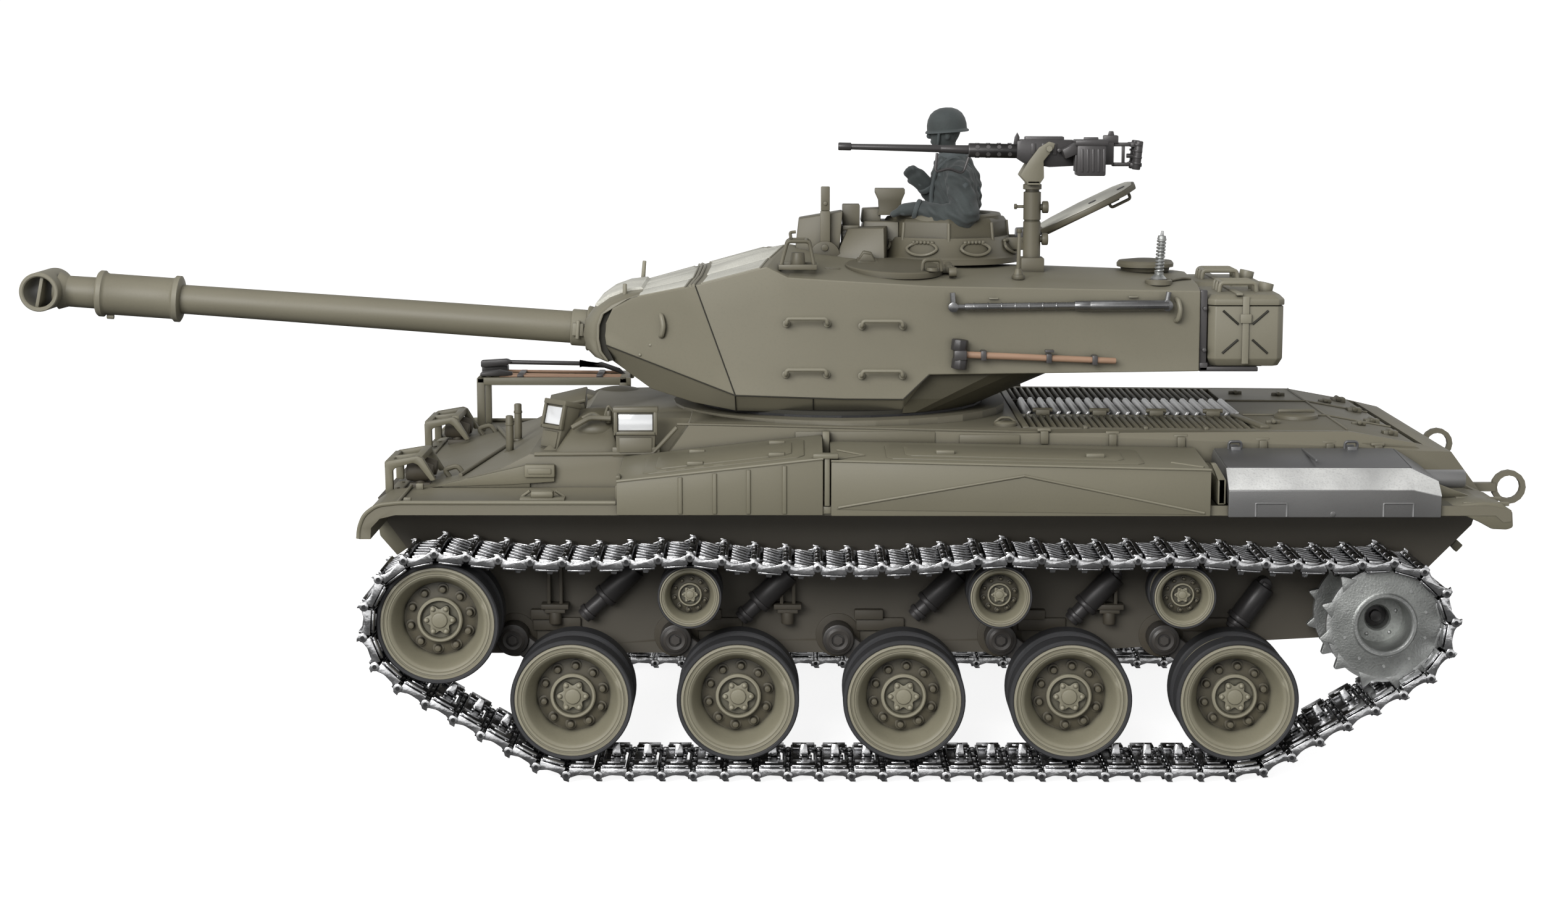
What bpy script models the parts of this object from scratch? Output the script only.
"""Radio controlled model tank, 1:16 class, as an assembly of separate pieces.

The tank faces -X, its left side is -Y and the ground is z = 0.  The origin is the middle of the
model's length and width, on the ground.  All sizes below are in millimetres; the meshes are in metres.
"""
import bpy
import bmesh
from math import atan2, cos, hypot, pi, radians, sin
from mathutils import Matrix, Vector

MM = 0.001
GAP = 0.3                      # air between two pieces that touch
COLLECTION = "rc_tank"

# Running gear
WHEEL_R = 20.3                 # road wheel and idler, over the tyre
WHEEL_X0, WHEEL_PITCH, WHEEL_Z = -58.2, 53.7, 26.2
WHEEL_COUNT = 5
WHEEL_IN, WHEEL_OUT = 70.0, 93.0      # a wheel's two faces, as distances from the middle of the tank
IDLER_X, IDLER_Z = -101.0, 51.4
SPROCKET_X, SPROCKET_Z = 203.6, 51.0
ROLLER_X = (-20.0, 79.9, 139.0)
ROLLER_Z, ROLLER_R = 59.8, 10.9
ARM_DX, ARM_DZ = -21.0, 15.1          # from a road wheel's axle to its swing arm's pivot
AXLE_R, BORE_R = 2.0, 2.3
TRACK_IN, TRACK_OUT = 65.0, 98.0
TRACK_THICK = 5.6
TRACK_SAG = 3.5e-4                    # sag of the upper run, per span squared
SPROCKET_TEETH = 12
SHAFT_R = 2.5

# Hull
TUB_Y, WALL = 62.0, 2.0
TUB_TOP = 87.5
FENDER_Y, FENDER_Z = 98.2, 91.0
BOX_Y, BOX_Z = 100.0, FENDER_Z + GAP
DECK_FRONT, DECK_REAR, DECK_Y = 89.0, 222.0, 56.0

# Turret
RING_X, RING_R = 29.4, 50.0
TURRET_Z = 113.6
GUN_X, GUN_Z = -43.3, 136.4           # trunnion axis
GUN_TILT = radians(4.08)              # the barrel's elevation at rest
MANTLET_R, MANTLET_Y = 16.0, 26.5
BARREL_R = 5.7
MUZZLE_REACH = 207.9                  # trunnion to the muzzle brake's cross tube
CUPOLA_X, CUPOLA_Y, CUPOLA_Z = 67.0, 14.0, 163.0
LOADER_X, LOADER_Y, LOADER_Z = 47.5, -26.0, 161.6
HATCH_R = 16.5
MG_X, MG_Y, MG_PIVOT_Z = 95.5, -10.0, 194.0
CUPOLA_HINGE_X, CUPOLA_HINGE_Z = 94.5, 168.0
LID_SLOPE = radians(26.2)             # the open lid against the level

# Outlines of the hull in side view, (x, z), from the nose backwards along the bottom
TUB_OUTLINE = [(-124.0, TUB_TOP), (-121.4, 80.0), (-89.0, 35.0), (100.0, 35.6), (188.0, 40.5),
               (200.0, 42.0), (207.0, 47.0), (237.6, 78.6), (240.0, TUB_TOP)]
# Upper hull stations: x, height at the side wall, height of the roof
HULL_STATIONS = [(-121.0, 88.6, 88.9), (-112.7, 89.4, 90.2), (-94.6, 94.1, 94.4), (-83.3, 97.0, 97.3),
                 (-73.5, 102.0, 102.2), (-28.3, 101.4, 101.8), (-21.0, 111.6, 112.0),
                 (85.0, 109.0, 110.0), (197.0, 104.6, 109.2), (219.0, 103.3, 105.2),
                 (231.0, 94.0, 102.4), (240.7, 88.6, 89.4)]
# Turret stations: x, then half sections (y, z): bottom, fold, side top, shoulder, middle
TURRET_STATIONS = [
    (-47.0, (27.0, 127.5), (32.0, 131.0), (33.0, 147.0), (22.0, 151.0), (0.0, 152.0)),
    (-18.0, (34.0, 117.6), (43.0, 122.5), (44.0, 154.5), (30.0, 158.5), (0.0, 160.0)),
    (-5.5, (40.0, TURRET_Z), (47.0, 120.6), (47.5, 157.5), (34.0, 162.0), (0.0, 163.5)),
    (12.0, (44.0, TURRET_Z), (50.0, 120.3), (50.0, 160.2), (38.0, 161.8), (0.0, 164.5)),
    (50.0, (44.0, TURRET_Z), (50.0, 118.8), (50.0, 157.7), (38.0, 158.6), (0.0, 160.5)),
    (58.7, (42.0, 122.0), (49.0, 127.4), (49.0, 157.4), (37.0, 158.3), (0.0, 160.3)),
    (150.0, (34.0, 127.6), (38.0, 130.0), (38.0, 156.4), (30.0, 157.0), (0.0, 158.2)),
]

PAINTS = {                            # colour, roughness, metallic
    "olive": ((0.175, 0.160, 0.110), 0.62, 0.0),
    "olive_dark": ((0.075, 0.066, 0.045), 0.70, 0.0),
    "wheel_khaki": ((0.230, 0.212, 0.145), 0.60, 0.0),
    "cast_metal": ((0.36, 0.37, 0.37), 0.45, 1.0),
    "track_metal": ((0.62, 0.62, 0.62), 0.30, 1.0),
    "muffler_silver": ((0.28, 0.28, 0.28), 0.45, 0.6),
    "gunmetal": ((0.060, 0.058, 0.062), 0.45, 0.5),
    "figure_green": ((0.055, 0.066, 0.066), 0.75, 0.0),
    "black_plastic": ((0.02, 0.02, 0.02), 0.55, 0.0),
    "board_green": ((0.02, 0.12, 0.05), 0.5, 0.0),
}


# ---------------------------------------------------------------- helpers

def clear_scene():
    for obj in list(bpy.data.objects):
        bpy.data.objects.remove(obj, do_unlink=True)
    collection = bpy.data.collections.new(COLLECTION)
    bpy.context.scene.collection.children.link(collection)
    return collection


def from_bmesh(bm, name="piece"):
    """A new object from a bmesh in millimetres, with its faces pointing out."""
    bmesh.ops.recalc_face_normals(bm, faces=bm.faces)
    bmesh.ops.scale(bm, vec=(MM, MM, MM), verts=bm.verts)
    mesh = bpy.data.meshes.new(name)
    bm.to_mesh(mesh)
    bm.free()
    obj = bpy.data.objects.new(name, mesh)
    PARTS.objects.link(obj)
    return obj


def box(low, high):
    bm = bmesh.new()
    bmesh.ops.create_cube(bm, size=1.0)
    size = [b - a for a, b in zip(low, high)]
    middle = [(a + b) / 2 for a, b in zip(low, high)]
    bmesh.ops.scale(bm, vec=size, verts=bm.verts)
    bmesh.ops.translate(bm, vec=middle, verts=bm.verts)
    return from_bmesh(bm)


def rod(start, end, radius, sides=12, end_radius=None):
    """A cylinder, or a cone, from one point to another."""
    start, end = Vector(start), Vector(end)
    along = end - start
    bm = bmesh.new()
    bmesh.ops.create_cone(bm, cap_ends=True, segments=sides, radius1=radius,
                          radius2=radius if end_radius is None else end_radius, depth=along.length)
    turn = Vector((0, 0, 1)).rotation_difference(along).to_matrix().to_4x4()
    bmesh.ops.transform(bm, matrix=Matrix.Translation((start + end) / 2) @ turn, verts=bm.verts)
    return from_bmesh(bm)


def ball(centre, radii, sides=10, rings=7):
    bm = bmesh.new()
    bmesh.ops.create_uvsphere(bm, u_segments=sides, v_segments=rings, radius=1.0)
    bmesh.ops.scale(bm, vec=radii, verts=bm.verts)
    bmesh.ops.translate(bm, vec=centre, verts=bm.verts)
    return from_bmesh(bm)


def evaluated_mesh(obj):
    depsgraph = bpy.context.evaluated_depsgraph_get()
    return bpy.data.meshes.new_from_object(obj.evaluated_get(depsgraph))


def prism(outlines, start, end, across="Y"):
    """Closed outlines, the first one filled and the others holes, pulled along one axis."""
    curve = bpy.data.curves.new("outline", "CURVE")
    curve.dimensions = "2D"
    curve.fill_mode = "BOTH"
    curve.extrude = (end - start) / 2
    for outline in outlines:
        spline = curve.splines.new("POLY")
        spline.points.add(len(outline) - 1)
        for point, (a, b) in zip(spline.points, outline):
            point.co = (a, b, 0.0, 1.0)
        spline.use_cyclic_u = True
    guide = bpy.data.objects.new("outline", curve)
    PARTS.objects.link(guide)
    bm = bmesh.new()
    bm.from_mesh(evaluated_mesh(guide))
    bpy.data.objects.remove(guide, do_unlink=True)
    bmesh.ops.remove_doubles(bm, verts=bm.verts, dist=0.001)
    stand = {"Y": Matrix(((1, 0, 0), (0, 0, 1), (0, 1, 0))),
             "X": Matrix(((0, 0, 1), (1, 0, 0), (0, 1, 0))),
             "Z": Matrix.Identity(3)}[across].to_4x4()
    shift = {"X": (1, 0, 0), "Y": (0, 1, 0), "Z": (0, 0, 1)}[across]
    middle = Vector(shift) * (start + end) / 2
    bmesh.ops.transform(bm, matrix=Matrix.Translation(middle) @ stand, verts=bm.verts)
    return from_bmesh(bm)


def turned(profile, centre, axis="Y", side=1, steps=14):
    """A profile of (radius, distance along the axis), turned about an axis through centre."""
    mesh = bpy.data.meshes.new("profile")
    points = [(radius, 0.0, along) for radius, along in profile]
    edges = [(i, i + 1) for i in range(len(points) - 1)]
    if profile[0][0] > 0 or profile[-1][0] > 0:
        edges.append((len(points) - 1, 0))
    mesh.from_pydata(points, edges, [])
    guide = bpy.data.objects.new("profile", mesh)
    PARTS.objects.link(guide)
    screw = guide.modifiers.new("turn", "SCREW")
    screw.steps = screw.render_steps = steps
    screw.use_merge_vertices = True
    screw.merge_threshold = 0.00005
    bm = bmesh.new()
    bm.from_mesh(evaluated_mesh(guide))
    bpy.data.objects.remove(guide, do_unlink=True)
    bmesh.ops.remove_doubles(bm, verts=bm.verts, dist=0.0001)
    turn = {"Z": Matrix.Identity(3),
            "Y": Matrix(((1, 0, 0), (0, 0, side), (0, 1, 0)))}[axis].to_4x4()
    bmesh.ops.transform(bm, matrix=Matrix.Translation(centre) @ turn, verts=bm.verts)
    return from_bmesh(bm)


def loft(sections):
    """Rings of equal length, skinned one to the next and closed at both ends."""
    bm = bmesh.new()
    rings = [[bm.verts.new(point) for point in section] for section in sections]
    count = len(rings[0])
    for near, far in zip(rings, rings[1:]):
        for i in range(count):
            j = (i + 1) % count
            bm.faces.new((near[i], near[j], far[j], far[i]))
    bm.faces.new(rings[0])
    bm.faces.new(rings[-1])
    bmesh.ops.triangulate(bm, faces=bm.faces)
    return from_bmesh(bm)


def combine(base, others, operation):
    """Join other pieces to the base, cut them from it, or keep what they share."""
    for other in others:
        step = base.modifiers.new(operation.lower(), "BOOLEAN")
        step.operation = operation
        step.solver = "EXACT"
        step.object = other
        mesh = evaluated_mesh(base)
        base.modifiers.remove(step)
        base.data = mesh
        bpy.data.objects.remove(other, do_unlink=True)
    return base


def union(base, *others):
    return combine(base, others, "UNION")


def cut(base, *others):
    return combine(base, others, "DIFFERENCE")


def inset(outline, distance):
    """A closed outline moved inwards by a distance, for the inside of a shell."""
    area = sum(x0 * y1 - x1 * y0 for (x0, y0), (x1, y1) in zip(outline, outline[1:] + outline[:1]))
    turn = 1 if area > 0 else -1
    result = []
    for i, (x, y) in enumerate(outline):
        before, after = outline[i - 1], outline[(i + 1) % len(outline)]
        normals = []
        for (ax, ay), (bx, by) in ((before, (x, y)), ((x, y), after)):
            length = hypot(bx - ax, by - ay)
            normals.append((-(by - ay) / length * turn, (bx - ax) / length * turn))
        nx, ny = normals[0][0] + normals[1][0], normals[0][1] + normals[1][1]
        scale = distance * 2 / (nx * nx + ny * ny)
        result.append((x + nx * scale, y + ny * scale))
    return result


def finish(obj, name, paint, pivot=(0, 0, 0), tilt=0.0):
    """Name and paint a piece, and put its origin on its pivot; tilt turns it about that pivot's Y."""
    obj.name = obj.data.name = name
    pivot = Vector(pivot) * MM
    obj.data.transform(Matrix.Translation(-pivot))
    obj.location = pivot
    obj.rotation_euler = (0.0, tilt, 0.0)
    obj.data.materials.clear()
    obj.data.materials.append(new_material(name, *PAINTS[paint]))
    return obj


def new_material(name, colour, roughness, metallic):
    material = bpy.data.materials.new(name)
    material.use_nodes = True
    shader = material.node_tree.nodes["Principled BSDF"]
    shader.inputs["Base Color"].default_value = (*colour, 1.0)
    shader.inputs["Roughness"].default_value = roughness
    shader.inputs["Metallic"].default_value = metallic
    material.diffuse_color = (*colour, 1.0)
    return material


def round_off(obj, angle=35.0):
    obj.data.shade_smooth()
    obj.data.set_sharp_from_angle(angle=radians(angle))
    return obj


def hang_on(child, parent):
    bpy.context.view_layer.update()
    child.parent = parent
    child.matrix_parent_inverse = parent.matrix_world.inverted()


# ---------------------------------------------------------------- running gear

def wheel_profile():
    """Radius and distance from the tank's middle: bore, inner disc, tyres, outer dish and hub cap."""
    inner, outer = WHEEL_IN, WHEEL_OUT
    return [(0.0, inner + 11.0), (BORE_R, inner + 11.0), (BORE_R, inner), (WHEEL_R, inner),
            (WHEEL_R, inner + 8.5), (16.6, inner + 8.5), (16.6, outer - 8.5), (WHEEL_R, outer - 8.5),
            (WHEEL_R, outer), (18.0, outer), (15.0, outer - 8.0), (7.4, outer - 10.0),
            (6.4, outer - 6.0), (0.0, outer - 6.0)]


def roller_profile():
    inner, outer = 73.0, 91.0
    return [(0.0, 81.0), (BORE_R, 81.0), (BORE_R, inner), (ROLLER_R, inner), (ROLLER_R, inner + 6.0),
            (7.5, inner + 6.0), (7.5, outer - 6.0), (ROLLER_R, outer - 6.0), (ROLLER_R, outer),
            (8.6, outer), (7.4, outer - 4.0), (0.0, outer - 4.0)]


def swing_arm(x, side):
    """Pivot boss with its pin, the bar, and the stub axle that the wheel runs on."""
    pivot = (x + ARM_DX, WHEEL_Z + ARM_DZ)
    ends = [(*pivot, 4.2), (x, WHEEL_Z, 3.6)]
    arm = rod((pivot[0], side * (TUB_Y + GAP), pivot[1]), (pivot[0], side * 69.0, pivot[1]), 4.2, 10)
    angle = atan2(-ARM_DZ, -ARM_DX)
    sideways = Vector((-sin(angle), cos(angle)))
    outline = []
    for (px, pz, radius), sign in ((ends[0], 1), (ends[1], 1), (ends[1], -1), (ends[0], -1)):
        outline.append((px + sideways.x * radius * 0.85 * sign, pz + sideways.y * radius * 0.85 * sign))
    low, high = sorted((side * 64.0, side * 68.4))
    bar = prism([outline], low, high)
    hub = rod((x, side * 63.6, WHEEL_Z), (x, side * 69.2, WHEEL_Z), 3.6, 10)
    axle = rod((x, side * 69.0, WHEEL_Z), (x, side * 80.6, WHEEL_Z), AXLE_R, 8)
    pin = rod((pivot[0], side * (TUB_Y - WALL - 0.2), pivot[1]),
              (pivot[0], side * (TUB_Y + 1.0), pivot[1]), AXLE_R, 8)
    return union(arm, bar, hub, axle, pin), pivot


def sprocket(side):
    """Two toothed discs on a drum, with a deep hub and the shaft that goes into the gearbox."""
    body = turned([(0.0, 66.0), (11.5, 66.0), (11.5, 95.0), (9.5, 95.0), (8.5, 86.0), (0.0, 86.0)],
                  (SPROCKET_X, 0, SPROCKET_Z), side=side, steps=16)
    teeth = []
    for i in range(SPROCKET_TEETH):
        for offset, radius in ((-0.32, 17.2), (-0.12, WHEEL_R), (0.12, WHEEL_R), (0.32, 17.2)):
            angle = (i + offset) * 2 * pi / SPROCKET_TEETH
            teeth.append((SPROCKET_X + radius * cos(angle), SPROCKET_Z + radius * sin(angle)))
    hub = arc((SPROCKET_X, SPROCKET_Z), 10.4, 0.0, 330.0, 30.0)
    rings = [prism([teeth, hub], *sorted((side * a, side * b))) for a, b in ((67.0, 69.6), (91.4, 94.0))]
    shaft = rod((SPROCKET_X, side * 52.0, SPROCKET_Z), (SPROCKET_X, side * 66.5, SPROCKET_Z), SHAFT_R)
    return union(body, *rings, shaft)


def arc(centre, radius, start, end, step=12.0):
    count = max(2, round(abs(end - start) / step))
    angles = [radians(start + (end - start) * i / count) for i in range(count + 1)]
    return [(centre[0] + radius * cos(a), centre[1] + radius * sin(a)) for a in angles]


def track_path():
    """The inner surface of a track in side view: round the idler, the wheels and the sprocket,
    and back over the return rollers with a little sag in each span."""
    reach = WHEEL_R + GAP
    idler, sprocket_at = (IDLER_X, IDLER_Z), (SPROCKET_X, SPROCKET_Z)
    first = (WHEEL_X0, WHEEL_Z)
    last = (WHEEL_X0 + (WHEEL_COUNT - 1) * WHEEL_PITCH, WHEEL_Z)
    front = 270.0 + atan2(first[1] - idler[1], first[0] - idler[0]) * 180 / pi
    rear = 270.0 + atan2(sprocket_at[1] - last[1], sprocket_at[0] - last[0]) * 180 / pi
    path = arc(idler, reach, 90.0, front)
    path += arc(first, reach, front, 270.0)
    path += arc(last, reach, 270.0, rear)
    path += arc(sprocket_at, reach, rear, 450.0)
    tops = [(SPROCKET_X, SPROCKET_Z + reach)]
    tops += [(x, ROLLER_Z + ROLLER_R + GAP) for x in reversed(ROLLER_X)]
    tops += [(IDLER_X, IDLER_Z + reach)]
    for (x0, z0), (x1, z1) in zip(tops, tops[1:]):
        sag = TRACK_SAG * (x1 - x0) ** 2
        for i in range(1, 7):
            t = i / 6
            path.append((x0 + (x1 - x0) * t, z0 + (z1 - z0) * t - 4 * sag * t * (1 - t)))
    return path[:-1]


def track(side):
    inner = track_path()
    outer = inset(inner, -TRACK_THICK)
    return prism([outer, inner], *sorted((side * TRACK_IN, side * TRACK_OUT)))


def running_gear(side, word):
    """Everything that rolls on one side of the tank."""
    for i in range(WHEEL_COUNT):
        x = WHEEL_X0 + i * WHEEL_PITCH
        arm, pivot = swing_arm(x, side)
        finish(arm, f"swing_arm_{word}_{i + 1}", "olive_dark", (pivot[0], side * 66.0, pivot[1]))
        wheel = round_off(turned(wheel_profile(), (x, 0, WHEEL_Z), side=side))
        finish(wheel, f"road_wheel_{word}_{i + 1}", "wheel_khaki", (x, side * 81.5, WHEEL_Z))
        hang_on(wheel, arm)
    for i, x in enumerate(ROLLER_X):
        roller = round_off(turned(roller_profile(), (x, 0, ROLLER_Z), side=side, steps=10))
        finish(roller, f"return_roller_{word}_{i + 1}", "wheel_khaki", (x, side * 81.5, ROLLER_Z))
    idler = round_off(turned(wheel_profile(), (IDLER_X, 0, IDLER_Z), side=side))
    finish(idler, f"idler_wheel_{word}", "wheel_khaki", (IDLER_X, side * 81.5, IDLER_Z))
    finish(sprocket(side), f"drive_sprocket_{word}", "cast_metal", (SPROCKET_X, side * 81.5, SPROCKET_Z))
    finish(track(side), f"track_{word}", "track_metal")


# ---------------------------------------------------------------- hull

def lower_hull():
    """The tub, open at the top, with the fixed axles and the holes for pins and shafts."""
    tub = prism([TUB_OUTLINE], -TUB_Y, TUB_Y)
    inside = inset(TUB_OUTLINE, WALL)
    hollow = [(x, z + 10.0) if z > TUB_TOP - WALL - 1.0 else (x, z) for x, z in inside]
    cut(tub, prism([hollow], -TUB_Y + WALL, TUB_Y - WALL))
    for side in (-1, 1):
        for x, z in [(x, ROLLER_Z) for x in ROLLER_X] + [(IDLER_X, IDLER_Z)]:
            union(tub, rod((x, side * (TUB_Y - 1), z), (x, side * 80.6, z), AXLE_R, 8))
            union(tub, rod((x, side * (TUB_Y - 1), z), (x, side * 68.0, z), 4.0, 8))
        union(tub, rod((SPROCKET_X - 3, side * (TUB_Y - 1), SPROCKET_Z + 1),
                       (SPROCKET_X - 3, side * 65.6, SPROCKET_Z + 1), 12.5, 14))
        holes = [(WHEEL_X0 + i * WHEEL_PITCH + ARM_DX, WHEEL_Z + ARM_DZ, BORE_R)
                 for i in range(WHEEL_COUNT)]
        holes.append((SPROCKET_X, SPROCKET_Z, SHAFT_R + GAP))
        for x, z, radius in holes:
            cut(tub, rod((x, side * 55.0, z), (x, side * 68.0, z), radius, 8))
    return tub


def hull_section(x, side_z, roof_z, narrow=0.0, base=TUB_TOP + GAP):
    half = TUB_Y - narrow
    shoulder = half - 4.0
    ring = [(half, base), (half, side_z), (shoulder, roof_z)]
    return [(x, y, z) for y, z in ring] + [(x, -y, z) for y, z in reversed(ring)]


def upper_hull():
    """The moulded upper shell: glacis, driver's hump, roof, rear slope, fenders and rear eyes."""
    shell = loft([hull_section(x, a, b) for x, a, b in HULL_STATIONS])
    hump = loft([[(x, y, z) for x, y in corners] for corners, z in (
        (((-72.0, -56.0), (-24.0, -56.0), (-24.0, 56.0), (-72.0, 56.0)), 100.5),
        (((-57.0, -38.0), (-21.0, -44.0), (-21.0, 44.0), (-57.0, 38.0)), 111.6))])
    collar = rod((RING_X, 0, 108.0), (RING_X, 0, 112.6), RING_R + 8.0, 32)
    union(shell, hump, collar)
    stations = [(x, a - 2.4, b - 2.4) for x, a, b in HULL_STATIONS[2:-1]]
    stations[0] = (-92.0, 91.6, 91.6)
    cut(shell, loft([hull_section(x, a, b, WALL, 80.0) for x, a, b in stations]))
    cut(shell, rod((RING_X, 0, 100.0), (RING_X, 0, 120.0), RING_R + GAP, 32))
    edge = [(-121.0, 80.0), (-124.6, 80.0), (-124.7, 83.5), (-123.3, 87.4), (-119.0, 90.4),
            (-112.0, FENDER_Z), (234.0, FENDER_Z), (240.9, 89.6), (241.0, 86.0), (238.6, 85.6),
            (236.0, TUB_TOP + GAP), (-113.0, TUB_TOP + GAP), (-118.0, 86.6), (-120.8, 83.6)]
    for side in (-1, 1):
        plate = prism([edge], *sorted((side * (TUB_Y + GAP), side * FENDER_Y)))
        ys = sorted((side * (TUB_Y - 1.0), side * (TUB_Y + 1.0)))
        root = box((-108.0, ys[0], TUB_TOP + GAP), (234.0, ys[1], FENDER_Z - 0.6))
        eye = turned([(3.9, -1.2), (5.7, -1.2), (5.7, 1.2), (3.9, 1.2)], (252.0, side * 51.0, 89.6), steps=16)
        lug = box((236.0, side * 51.0 - 1.5, 88.2), (247.6, side * 51.0 + 1.5, 91.0))
        union(shell, root, plate, eye, lug)
    opening = prism([[(DECK_FRONT, 95.0), (DECK_REAR, 95.0), (DECK_REAR, 125.0), (DECK_FRONT, 125.0)]],
                    -DECK_Y, DECK_Y)
    return cut(shell, opening)


def roof_height(x):
    for (x0, _, z0), (x1, _, z1) in zip(HULL_STATIONS, HULL_STATIONS[1:]):
        if x0 <= x <= x1:
            return z0 + (z1 - z0) * (x - x0) / (x1 - x0)
    return HULL_STATIONS[-1][2]


def engine_deck():
    """The removable engine deck: a plate in the roof's opening, slotted above the engine."""
    xs = [DECK_FRONT + GAP, 197.0, 219.0, DECK_REAR - GAP]
    top = [(x, roof_height(x)) for x in xs]
    deck = prism([top + [(x, z - 2.4) for x, z in reversed(top)]], -DECK_Y + GAP, DECK_Y - GAP)
    for low, high in ((-52.0, -4.0), (4.0, 52.0)):
        for x in [98.0 + 10.2 * i for i in range(7)]:
            cut(deck, box((x, low, 100.0), (x + 5.4, high, 120.0)))
    return deck


def fender_box(side):
    """The front wedge box and the long rear box, with the post between them, as one moulding."""
    parts = []
    for outline in ([(-42.6, BOX_Z), (22.8, BOX_Z), (22.8, 106.3), (-42.6, 99.0)],
                    [(25.3, BOX_Z), (145.4, BOX_Z), (145.4, 102.8), (25.3, 105.8)],
                    [(22.4, BOX_Z), (25.7, BOX_Z), (25.7, 107.0), (22.4, 107.0)]):
        piece = prism([outline], *sorted((side * (TUB_Y + GAP), side * BOX_Y)))
        parts.append(piece)
    for low, high in ((-42.6, 22.8), (25.3, 145.4)):
        ys = sorted((side * (FENDER_Y + GAP), side * BOX_Y))
        parts.append(box((low, ys[0], 88.0), (high, ys[1], BOX_Z + 1.0)))
    return union(*parts)


def muffler(side):
    """A silencer under a chamfered cover, with its tail pipe."""
    section = [(TUB_Y + GAP, BOX_Z), (FENDER_Y + GAP, BOX_Z), (FENDER_Y + GAP, 87.4), (BOX_Y, 87.4),
               (BOX_Y, 100.2), (95.0, 104.0), (66.0, 104.8), (TUB_Y + GAP, 102.0)]
    cover = prism([[(side * y, z) for y, z in section]], 150.9, 218.4, across="X")
    pipe = rod((216.0, side * 76.0, 96.4), (231.0, side * 76.0, 96.4), 4.0, 14)
    return union(cover, pipe)


def headlight_guard(side):
    """Two bent side bars and two cross bars round a pair of lamps, standing on the glacis."""
    outline = [(-122.2, 91.4), (-119.6, 91.4), (-119.6, 97.2), (-110.6, 99.0), (-107.4, 92.6),
               (-104.6, 92.6), (-108.6, 101.4), (-122.2, 99.6)]
    bars = [prism([outline], *sorted((side * y, side * (y - 2.4)))) for y in (64.4, 39.4)]
    low, high = sorted((side * 38.0, side * 63.0))
    front = box((-122.2, low, 97.3), (-119.6, high, 99.6))
    back = box((-111.2, low, 99.0), (-108.8, high, 101.2))
    return union(bars[0], bars[1], front, back)


def tool_rack():
    """The open frame on the right front fender that carries the digging tools."""
    frame = box((-106.0, 69.0, 108.8), (-48.0, 94.0, 111.6))
    cut(frame, box((-102.6, 72.4, 105.0), (-51.4, 90.6, 115.0)))
    for x in (-106.0, -51.4):
        for y in (69.0, 90.6):
            union(frame, box((x, y, BOX_Z), (x + 3.4, y + 3.4, 110.0)))
    for y, radius in ((75.5, 1.6), (81.5, 1.6), (87.5, 1.6)):
        union(frame, rod((-105.0, y, 112.4), (-49.0, y, 112.4), radius, 8))
    return frame


def gearbox(side):
    """The motor and reduction gear on one side, with the bore that takes the sprocket's shaft."""
    outline = [(166.0, 43.0), (198.0, 44.6), (207.6, 52.8), (207.6, 58.0), (198.0, 64.0), (166.0, 62.0)]
    low, high = sorted((side * 22.0, side * (TUB_Y - WALL - GAP)))
    body = prism([outline], low, high)
    return cut(body, rod((SPROCKET_X, side * 51.0, SPROCKET_Z), (SPROCKET_X, side * 70.0, SPROCKET_Z),
                         SHAFT_R + GAP))


# ---------------------------------------------------------------- turret

def turret_section(station, narrow=0.0):
    x, half = station[0], list(station[1:])
    ring = half + [(-y, z) for y, z in reversed(half[:-1])]
    if narrow:
        ring = inset(ring, narrow)
    return [(x, y, z) for y, z in ring]


def turret_shell():
    """The welded turret: faceted shell, ring skirt, seats for the roof fittings, all hollow."""
    shell = loft([turret_section(s) for s in TURRET_STATIONS])
    skirt = rod((RING_X, 0, TURRET_Z), (RING_X, 0, 127.0), RING_R + 4.0, 32, RING_R + 16.0)
    combine(skirt, [box((-20.0, -43.0, 110.0), (120.0, 43.0, 130.0))], "INTERSECT")
    cupola_seat = rod((CUPOLA_X, CUPOLA_Y, 155.0), (CUPOLA_X, CUPOLA_Y, CUPOLA_Z - GAP), 27.0, 32)
    loader_seat = rod((LOADER_X, LOADER_Y, 155.0), (LOADER_X, LOADER_Y, LOADER_Z - GAP), 17.5, 24)
    post_seat = box((MG_X - 6, MG_Y - 6, 155.0), (MG_X + 6, MG_Y + 6, 160.7))
    antenna_seat = rod((139.4, -30.0, 154.0), (139.4, -30.0, 159.0), 3.2, 12)
    union(shell, skirt, cupola_seat, loader_seat, post_seat, antenna_seat)
    inner = [(-40.0, *TURRET_STATIONS[0][1:])] + list(TURRET_STATIONS[1:-1])
    inner.append((147.5, *TURRET_STATIONS[-1][1:]))
    cut(shell, loft([turret_section(s, 2.5) for s in inner]))
    cut(shell, rod((RING_X, 0, 100.0), (RING_X, 0, 128.0), RING_R - 3.0, 32))
    cut(shell, rod((GUN_X, -MANTLET_Y - GAP, GUN_Z), (GUN_X, MANTLET_Y + GAP, GUN_Z), MANTLET_R + GAP, 28))
    cut(shell, rod((GUN_X, -30.6, GUN_Z), (GUN_X, 30.6, GUN_Z), 2.8))
    cut(shell, rod((CUPOLA_X, CUPOLA_Y, 150.0), (CUPOLA_X, CUPOLA_Y, 170.0), 14.5, 24))
    cut(shell, rod((LOADER_X, LOADER_Y, 150.0), (LOADER_X, LOADER_Y, 170.0), 14.0, 24))
    return shell


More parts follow.
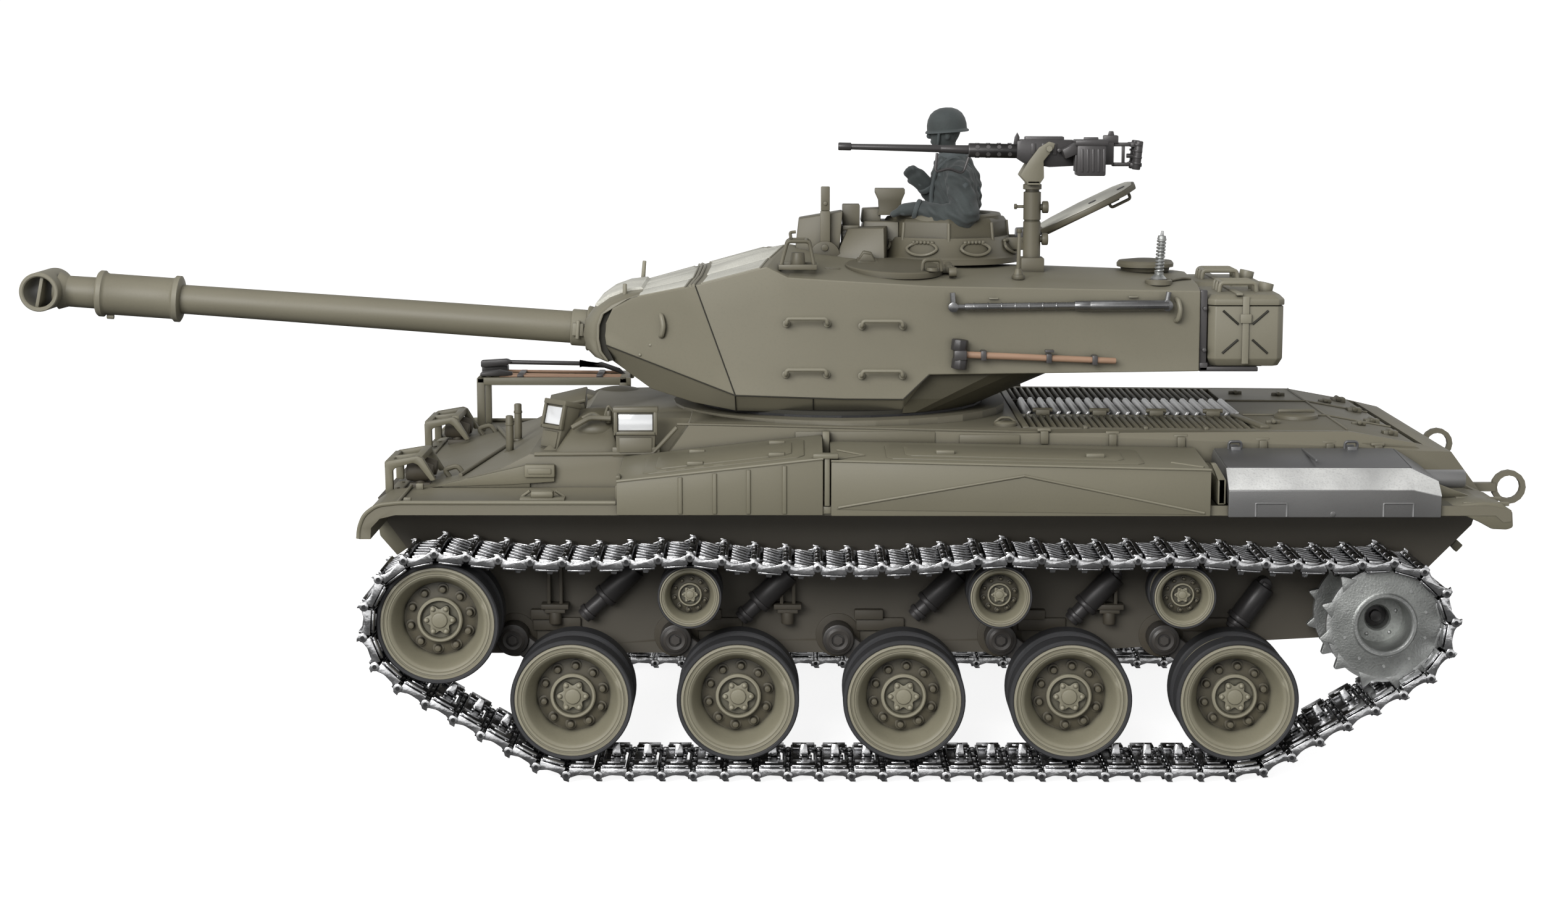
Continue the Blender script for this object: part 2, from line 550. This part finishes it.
def turret_ring():
    """The turning ring under the turret, inside the hull's roof opening."""
    return turned([(RING_R - 6.0, 106.0), (RING_R, 106.0), (RING_R, TURRET_Z - GAP),
                   (RING_R - 6.0, TURRET_Z - GAP)], (RING_X, 0, 0), axis="Z", steps=32)


def mantlet():
    """A round shield across the turret's nose, turning on two trunnion pins."""
    body = rod((GUN_X, -MANTLET_Y, GUN_Z), (GUN_X, MANTLET_Y, GUN_Z), MANTLET_R, 28)
    pins = rod((GUN_X, -30.2, GUN_Z), (GUN_X, 30.2, GUN_Z), 2.5)
    union(body, pins)
    return cut(body, rod((GUN_X - 9.0, 0, GUN_Z), (GUN_X - 30.0, 0, GUN_Z), 6.4, 16))


def barrel():
    """The gun, built level from the trunnion forwards: root, tube, evacuator and muzzle brake."""
    profile = [(0.0, 9.6), (6.0, 9.6), (6.0, 15.0), (6.9, 17.0), (6.9, 27.0), (BARREL_R, 29.0),
               (BARREL_R - 0.3, 157.0), (8.7, 157.5), (8.7, 160.0), (7.9, 160.5), (7.9, 182.0),
               (8.7, 182.5), (8.7, 185.0), (5.4, 186.0), (5.2, MUZZLE_REACH), (0.0, MUZZLE_REACH)]
    tube = turned(profile, (0, 0, 0), axis="Z", steps=16)
    tube.data.transform(Matrix.Translation((GUN_X * MM, 0, GUN_Z * MM))
                        @ Matrix.Rotation(radians(-90.0), 4, "Y"))
    end = GUN_X - MUZZLE_REACH
    cross = rod((end, -11.0, GUN_Z), (end, 11.0, GUN_Z), 7.0, 16)
    union(tube, cross)
    for side in (-1, 1):
        cut(tube, rod((end, side * 2.0, GUN_Z), (end, side * 12.0, GUN_Z), 5.4, 16))
    return tube


def loader_hatch():
    """A round lid with its hinge lug and handle."""
    lid = rod((LOADER_X, LOADER_Y, LOADER_Z), (LOADER_X, LOADER_Y, LOADER_Z + 1.8), HATCH_R, 24)
    lug = rod((LOADER_X + 19.5, LOADER_Y - 4.0, LOADER_Z + 1.2),
              (LOADER_X + 19.5, LOADER_Y + 4.0, LOADER_Z + 1.2), 1.2, 10)
    strap = box((LOADER_X + 12.0, LOADER_Y - 3.0, LOADER_Z + 0.4), (LOADER_X + 19.5, LOADER_Y + 3.0, LOADER_Z + 2.2))
    return union(lid, strap, lug)


def cupola():
    """The commander's ring of vision blocks with its periscope box in front."""
    ring = turned([(15.0, 0.0), (26.0, 0.0), (26.0, 1.6), (24.0, 3.0), (20.5, 10.5), (19.0, 13.4),
                   (15.0, 13.4)], (CUPOLA_X, CUPOLA_Y, CUPOLA_Z), axis="Z", steps=24)
    periscope = box((33.0, CUPOLA_Y - 8.0, 167.0), (52.0, CUPOLA_Y + 8.0, 175.6))
    head = box((37.0, CUPOLA_Y - 5.0, 175.0), (44.0, CUPOLA_Y + 5.0, 189.0))
    ears = rod((CUPOLA_HINGE_X, CUPOLA_Y - 9.0, CUPOLA_HINGE_Z),
               (CUPOLA_HINGE_X, CUPOLA_Y + 9.0, CUPOLA_HINGE_Z), 1.0, 10)
    block = box((86.0, CUPOLA_Y - 9.0, 164.2), (CUPOLA_HINGE_X + 0.4, CUPOLA_Y - 6.0, CUPOLA_HINGE_Z + 1.0))
    block2 = box((86.0, CUPOLA_Y + 6.0, 164.2), (CUPOLA_HINGE_X + 0.4, CUPOLA_Y + 9.0, CUPOLA_HINGE_Z + 1.0))
    union(ring, periscope, head, block, block2, ears)
    return cut(ring, rod((CUPOLA_X, CUPOLA_Y, 160.0), (CUPOLA_X, CUPOLA_Y, 180.0), 15.0, 24))


def cupola_hatch():
    """The commander's lid, standing open behind the ring on a hinge link."""
    x, z = CUPOLA_HINGE_X, CUPOLA_HINGE_Z
    lid = rod((0, 0, 0), (0, 0, 2.0), 18.5, 24)
    lid.data.transform(Matrix.Translation(Vector((x + 24.1, CUPOLA_Y, z + 3.2)) * MM)
                       @ Matrix.Rotation(-LID_SLOPE, 4, "Y"))
    link = prism([[(x, z - 2.2), (x + 13.5, z - 1.8), (x + 16.0, z + 1.6), (x, z + 2.2)]],
                 CUPOLA_Y - 5.0, CUPOLA_Y + 5.0)
    knuckle = rod((x, CUPOLA_Y - 5.6, z), (x, CUPOLA_Y + 5.6, z), 2.6, 12)
    union(lid, link, knuckle)
    return cut(lid, rod((x, CUPOLA_Y - 20, z), (x, CUPOLA_Y + 20, z), 1.3, 10))


def mg_post():
    """The machine gun's post: foot block, tube and two clamping knobs."""
    foot = box((MG_X - 5, MG_Y - 5, 161.0), (MG_X + 5, MG_Y + 5, 165.0))
    tube = rod((MG_X, MG_Y, 164.0), (MG_X, MG_Y, 186.0), 3.7, 12)
    knobs = [rod((MG_X + 2, MG_Y, z), (MG_X + 6, MG_Y, z), 1.7, 8) for z in (171.0, 180.0)]
    pin = rod((MG_X - 6.4, MG_Y, 180.6), (MG_X, MG_Y, 180.6), 0.8, 8)
    union(foot, tube, *knobs, pin)
    return cut(foot, rod((MG_X, MG_Y, 178.0), (MG_X, MG_Y, 190.0), 1.9, 12))


def mg_cradle():
    """The yoke that turns in the post and carries the gun's trunnions."""
    pin = rod((MG_X, MG_Y, 178.4), (MG_X, MG_Y, 187.5), 1.6, 12)
    plate = box((MG_X - 3.4, MG_Y - 6.6, 186.4), (MG_X + 3.4, MG_Y + 6.6, 188.4))
    arms = [box((MG_X - 2.6, MG_Y + s * 5.7 - 0.9, 187.0), (MG_X + 2.6, MG_Y + s * 5.7 + 0.9, 196.4))
            for s in (-1, 1)]
    union(pin, plate, *arms)
    return cut(pin, rod((MG_X, MG_Y - 9, MG_PIVOT_Z), (MG_X, MG_Y + 9, MG_PIVOT_Z), 1.3, 12))


def machine_gun():
    """The heavy machine gun: receiver, barrel jacket, barrel, ammunition box and spade grips."""
    gun = box((88.0, MG_Y - 3.6, 192.4), (121.5, MG_Y + 3.6, 201.6))
    jacket = rod((72.0, MG_Y, 199.4), (90.0, MG_Y, 199.2), 2.6, 12)
    tube = rod((28.6, MG_Y, 200.6), (74.0, MG_Y, 199.4), 1.2, 10)
    muzzle = rod((28.6, MG_Y, 200.6), (34.0, MG_Y, 200.5), 1.7, 10)
    ammo = box((104.0, MG_Y - 12.0, 190.6), (119.0, MG_Y - 3.0, 203.0))
    handles = [box((121.0, MG_Y - 3.0, z), (131.0, MG_Y + 3.0, z + 1.8)) for z in (192.6, 199.6)]
    grips = [rod((129.6, MG_Y + s * 4.2, 191.6), (129.6, MG_Y + s * 4.2, 202.6), 1.6, 10) for s in (-1, 1)]
    union(gun, jacket, tube, muzzle, ammo, *handles, *grips)
    return union(gun, rod((MG_X, MG_Y - 7.0, MG_PIVOT_Z), (MG_X, MG_Y + 7.0, MG_PIVOT_Z), 1.0, 10))


def figure():
    """The crew figure from the waist up: jacket, arms on the ring, head and helmet."""
    x, y = 66.0, CUPOLA_Y
    torso = loft([[(x + dx + rx * cos(a), y + ry * sin(a), z) for a in [i * pi / 5 for i in range(10)]]
                  for z, rx, ry, dx in ((165.0, 8.0, 9.5, 3.0), (178.0, 8.4, 10.5, 3.4), (190.0, 8.0, 12.5, 3.0),
                                        (196.5, 6.0, 10.5, 2.0), (199.0, 3.2, 4.0, 1.0))])
    head = ball((x - 1.0, y, 204.0), (6.4, 5.8, 7.6))
    helmet = ball((x, y, 207.0), (8.2, 7.8, 7.2))
    neck = rod((x + 1.0, y, 196.0), (x - 0.4, y, 203.0), 3.6, 10)
    union(torso, neck, head, helmet)
    arms = (((2.0, -12.0, 192.0), (2.6, -17.5, 181.0), 3.6), ((2.6, -17.5, 181.0), (-13.0, -9.0, 179.8), 3.2),
            ((1.0, 11.5, 192.0), (-6.0, 15.5, 183.0), 3.6), ((-6.0, 15.5, 183.0), (-13.0, 6.0, 192.6), 3.0))
    for start, end, radius in arms:
        near = (x + start[0], y + start[1], start[2])
        far = (x + end[0], y + end[1], end[2])
        union(torso, rod(near, far, radius, 8), ball(far, (radius, radius, radius), 6, 5))
    return torso


def bustle_rack():
    """Two fuel cans side by side on the rack behind the turret."""
    back = box((150.3, -37.0, 130.0), (153.0, 37.0, 152.0))
    for low, high in ((-38.0, -2.0), (2.0, 38.0)):
        can = box((152.4, low, 128.4), (178.0, high, 152.6))
        bevel = can.modifiers.new("soft", "BEVEL")
        bevel.width = 2.0 * MM
        bevel.segments = 1
        can.data = evaluated_mesh(can)
        can.modifiers.clear()
        union(back, can)
    return back


def antenna_spring():
    return turned([(0.0, 159.3), (2.6, 159.3), (2.6, 161.0), (1.6, 161.6), (1.6, 170.0), (0.9, 171.2),
                   (0.9, 173.4), (0.0, 173.4)], (139.4, -30.0, 0), axis="Z", steps=12)


# ---------------------------------------------------------------- assembly

PARTS = clear_scene()
for side, word in ((-1, "left"), (1, "right")):
    running_gear(side, word)
    finish(fender_box(side), f"stowage_box_{word}", "olive")
    finish(muffler(side), f"exhaust_muffler_{word}", "muffler_silver")
    finish(headlight_guard(side), f"headlight_guard_{word}", "olive")
    finish(gearbox(side), f"gearbox_{word}", "black_plastic")
finish(lower_hull(), "lower_hull", "olive_dark")
finish(upper_hull(), "upper_hull", "olive")
finish(engine_deck(), "engine_deck", "olive")
finish(tool_rack(), "tool_rack", "olive")
finish(box((-60.0, -24.0, 38.2), (42.0, 24.0, 62.0)), "battery_pack", "black_plastic")
finish(box((52.0, -36.0, 41.2), (150.0, 36.0, 43.8)), "control_board", "board_green")

turret = finish(turret_shell(), "turret_shell", "olive", (RING_X, 0, TURRET_Z))
turret_pieces = [
    finish(round_off(turret_ring()), "turret_ring", "black_plastic", (RING_X, 0, TURRET_Z)),
    finish(loader_hatch(), "loader_hatch", "olive", (LOADER_X + 19.5, LOADER_Y, LOADER_Z + 1.2)),
    finish(round_off(cupola()), "commander_cupola", "olive", (CUPOLA_X, CUPOLA_Y, CUPOLA_Z)),
    finish(cupola_hatch(), "cupola_hatch", "olive", (CUPOLA_HINGE_X, CUPOLA_Y, CUPOLA_HINGE_Z)),
    finish(mg_post(), "mg_post", "olive", (MG_X, MG_Y, 161.0)),
    finish(round_off(figure()), "commander_figure", "figure_green", (66.0, CUPOLA_Y, 165.0)),
    finish(round_off(antenna_spring()), "antenna_spring", "cast_metal", (139.4, -30.0, 159.3)),
    finish(bustle_rack(), "bustle_rack", "olive", (150.3, 0, 130.0)),
    finish(rod((64.0, 0, 114.2), (64.0, 0, 142.0), 10.0, 16), "turret_motor", "black_plastic", (64.0, 0, 114.2)),
]
for piece in turret_pieces:
    hang_on(piece, turret)

shield = finish(round_off(mantlet()), "gun_mantlet", "olive", (GUN_X, 0, GUN_Z), GUN_TILT)
gun = finish(round_off(barrel()), "gun_barrel", "olive", (GUN_X, 0, GUN_Z), GUN_TILT)
hang_on(shield, turret)
hang_on(gun, shield)
cradle = finish(mg_cradle(), "mg_cradle", "gunmetal", (MG_X, MG_Y, 186.4))
heavy_gun = finish(machine_gun(), "machine_gun", "gunmetal", (MG_X, MG_Y, MG_PIVOT_Z))
hang_on(cradle, turret)
hang_on(heavy_gun, cradle)
